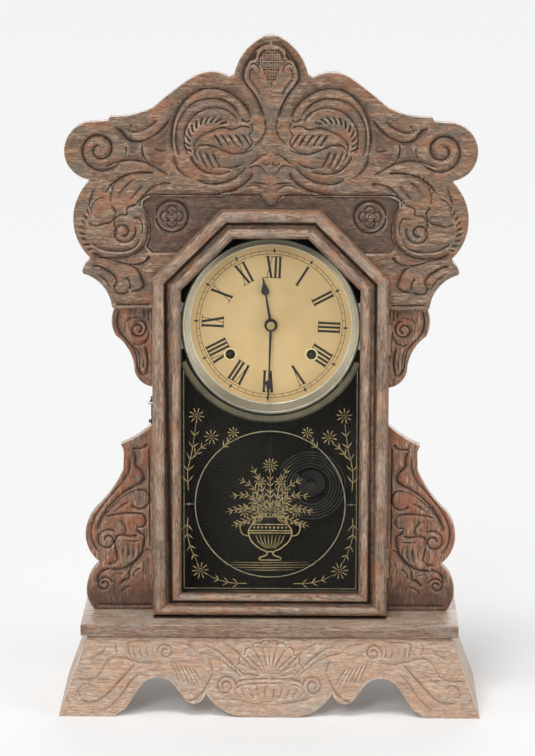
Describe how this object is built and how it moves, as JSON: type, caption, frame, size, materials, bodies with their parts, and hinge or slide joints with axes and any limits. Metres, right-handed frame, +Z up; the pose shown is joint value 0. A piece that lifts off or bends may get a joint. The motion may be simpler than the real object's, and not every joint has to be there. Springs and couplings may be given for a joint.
{
  "type": "gingerbread clock",
  "caption": "Free-standing oak shelf clock with a carved crest, octagon-topped glass door, round dial, striking movement, pendulum and coil gong.",
  "frame": {"origin": "middle of the footprint, on the surface the clock stands on", "axes": "+Z up, +X to the viewer's right, the dial faces -Y"},
  "size_m": [0.357, 0.14, 0.573],
  "materials": {
    "oak": "aged brown oak, pressed and carved, worn satin",
    "oak_inside": "dark stained inner wood",
    "glass": "thin old window glass with gilt transfer",
    "brass": "aged brass",
    "dark_brass": "tarnished brass",
    "steel": "dull steel",
    "spring_steel": "blued spring steel",
    "blacking": "black enamelled steel",
    "pan_plate": "dull plated tinplate",
    "paper": "yellowed printed paper",
    "iron": "black japanned iron"
  },
  "bodies": {
    "case": {"case_side_left": "oak", "case_side_right": "oak", "case_top": "oak_inside", "backboard": "oak_inside", "crest_board": "oak", "ear_left": "oak", "ear_right": "oak", "wing_left": "oak", "wing_right": "oak", "base_shelf": "oak", "base_front": "oak", "base_side_left": "oak", "base_side_right": "oak", "base_blocks": "oak_inside", "dial_blocks": "oak_inside", "hinge_case_leaves": "dark_brass", "latch_screw": "steel", "dial_pan": "pan_plate", "dial_paper": "paper", "dial_screws": "brass", "winding_grommets": "pan_plate", "front_plate": "brass", "back_plate": "brass", "pillars": "brass", "mainsprings": "spring_steel", "suspension_post": "brass", "gong_coil": "spring_steel", "gong_base": "iron"},
    "door": {"door_stile_left": "oak", "door_stile_right": "oak", "door_rail_top": "oak", "door_rail_bottom": "oak", "door_mitre_left": "oak", "door_mitre_right": "oak", "door_glass": "glass", "glass_strips": "oak_inside", "hinge_door_leaves": "dark_brass", "latch_pin": "steel"},
    "latch": {"latch_hook": "iron"},
    "minute_train": {"minute_hand": "blacking", "hand_washer": "brass", "centre_shaft": "steel"},
    "minute_wheel_body": {"minute_wheel": "brass"},
    "hour_train": {"hour_wheel": "brass", "hour_hand": "blacking"},
    "pendulum": {"pendulum_rod": "steel", "pendulum_bob": "dark_brass"},
    "verge_body": {"verge": "steel"},
    "escape": {"escape_wheel": "brass"},
    "third": {"third_wheel": "brass"},
    "centre": {"centre_wheel": "brass"},
    "second": {"time_second_wheel": "brass"},
    "time_great": {"time_great_wheel": "brass"},
    "time_winding": {"time_arbor": "steel"},
    "fly": {"strike_fly": "brass"},
    "strike_third": {"strike_third_wheel": "brass"},
    "strike_second": {"strike_second_wheel": "brass"},
    "strike_great": {"strike_great_wheel": "brass"},
    "strike_winding": {"strike_arbor": "steel"},
    "hammer_body": {"hammer": "steel"}
  },
  "joints": [
    {"name": "door_hinge", "type": "hinge", "parent": "case", "child": "door", "pos_m": [0.0996, -0.01825, 0.2195], "axis": [0, 0, 1], "range_deg": [0, 90]},
    {"name": "latch_turn", "type": "hinge", "parent": "case", "child": "latch", "pos_m": [-0.1009, -0.00925, 0.262], "axis": [-1, 0, 0], "range_deg": [0, 90]},
    {"name": "minute_hand_turn", "type": "hinge", "parent": "case", "child": "minute_train", "pos_m": [0, 0, 0.3248], "axis": [0, 1, 0], "continuous": true},
    {"name": "minute_wheel_turn", "type": "hinge", "parent": "case", "child": "minute_wheel_body", "pos_m": [-0.01088, 0.024, 0.31973], "axis": [0, 1, 0], "continuous": true},
    {"name": "hour_hand_turn", "type": "hinge", "parent": "case", "child": "hour_train", "pos_m": [0, 0.012, 0.3248], "axis": [0, 1, 0], "continuous": true},
    {"name": "pendulum_swing", "type": "hinge", "parent": "case", "child": "pendulum", "pos_m": [0, 0.017, 0.3668], "axis": [0, 1, 0], "range_deg": [-3, 3]},
    {"name": "verge_swing", "type": "hinge", "parent": "case", "child": "verge_body", "pos_m": [0, 0.023, 0.3668], "axis": [0, 1, 0], "range_deg": [-3, 3]},
    {"name": "escape_turn", "type": "hinge", "parent": "case", "child": "escape", "pos_m": [0, 0.0413, 0.3498], "axis": [0, 1, 0], "continuous": true},
    {"name": "third_turn", "type": "hinge", "parent": "case", "child": "third", "pos_m": [0.01784, 0.0413, 0.33931], "axis": [0, 1, 0], "continuous": true},
    {"name": "centre_turn", "type": "hinge", "parent": "case", "child": "centre", "pos_m": [0, 0.0413, 0.3248], "axis": [0, 1, 0], "continuous": true},
    {"name": "second_turn", "type": "hinge", "parent": "case", "child": "second", "pos_m": [0.0109, 0.0413, 0.30477], "axis": [0, 1, 0], "continuous": true},
    {"name": "time_great_turn", "type": "hinge", "parent": "case", "child": "time_great", "pos_m": [0.0345, 0.0413, 0.299], "axis": [0, 1, 0], "continuous": true},
    {"name": "time_winding_turn", "type": "hinge", "parent": "case", "child": "time_winding", "pos_m": [0.0345, 0.0413, 0.299], "axis": [0, 1, 0], "continuous": true},
    {"name": "fly_turn", "type": "hinge", "parent": "case", "child": "fly", "pos_m": [-0.02384, 0.0413, 0.35874], "axis": [0, 1, 0], "continuous": true},
    {"name": "strike_third_turn", "type": "hinge", "parent": "case", "child": "strike_third", "pos_m": [-0.02072, 0.0413, 0.34102], "axis": [0, 1, 0], "continuous": true},
    {"name": "strike_second_turn", "type": "hinge", "parent": "case", "child": "strike_second", "pos_m": [-0.02821, 0.0413, 0.32247], "axis": [0, 1, 0], "continuous": true},
    {"name": "strike_great_turn", "type": "hinge", "parent": "case", "child": "strike_great", "pos_m": [-0.0345, 0.0413, 0.299], "axis": [0, 1, 0], "continuous": true},
    {"name": "strike_winding_turn", "type": "hinge", "parent": "case", "child": "strike_winding", "pos_m": [-0.0345, 0.0413, 0.299], "axis": [0, 1, 0], "continuous": true},
    {"name": "hammer_lift", "type": "hinge", "parent": "case", "child": "hammer_body", "pos_m": [-0.006, 0.046, 0.2788], "axis": [0, 1, 0], "range_deg": [0, 12]}
  ],
  "couplings": [
    {"joint": "minute_wheel_turn", "follows": "minute_hand_turn", "ratio": -0.33333},
    {"joint": "hour_hand_turn", "follows": "minute_hand_turn", "ratio": 0.083333},
    {"joint": "verge_swing", "follows": "pendulum_swing", "ratio": 1},
    {"joint": "third_turn", "follows": "escape_turn", "ratio": -0.095238},
    {"joint": "centre_turn", "follows": "escape_turn", "ratio": 0.0090703},
    {"joint": "second_turn", "follows": "escape_turn", "ratio": -0.0024187},
    {"joint": "time_great_turn", "follows": "escape_turn", "ratio": 0.00030234},
    {"joint": "strike_third_turn", "follows": "fly_turn", "ratio": -0.125},
    {"joint": "strike_second_turn", "follows": "fly_turn", "ratio": 0.013889},
    {"joint": "strike_great_turn", "follows": "fly_turn", "ratio": -0.0017361}
  ]
}
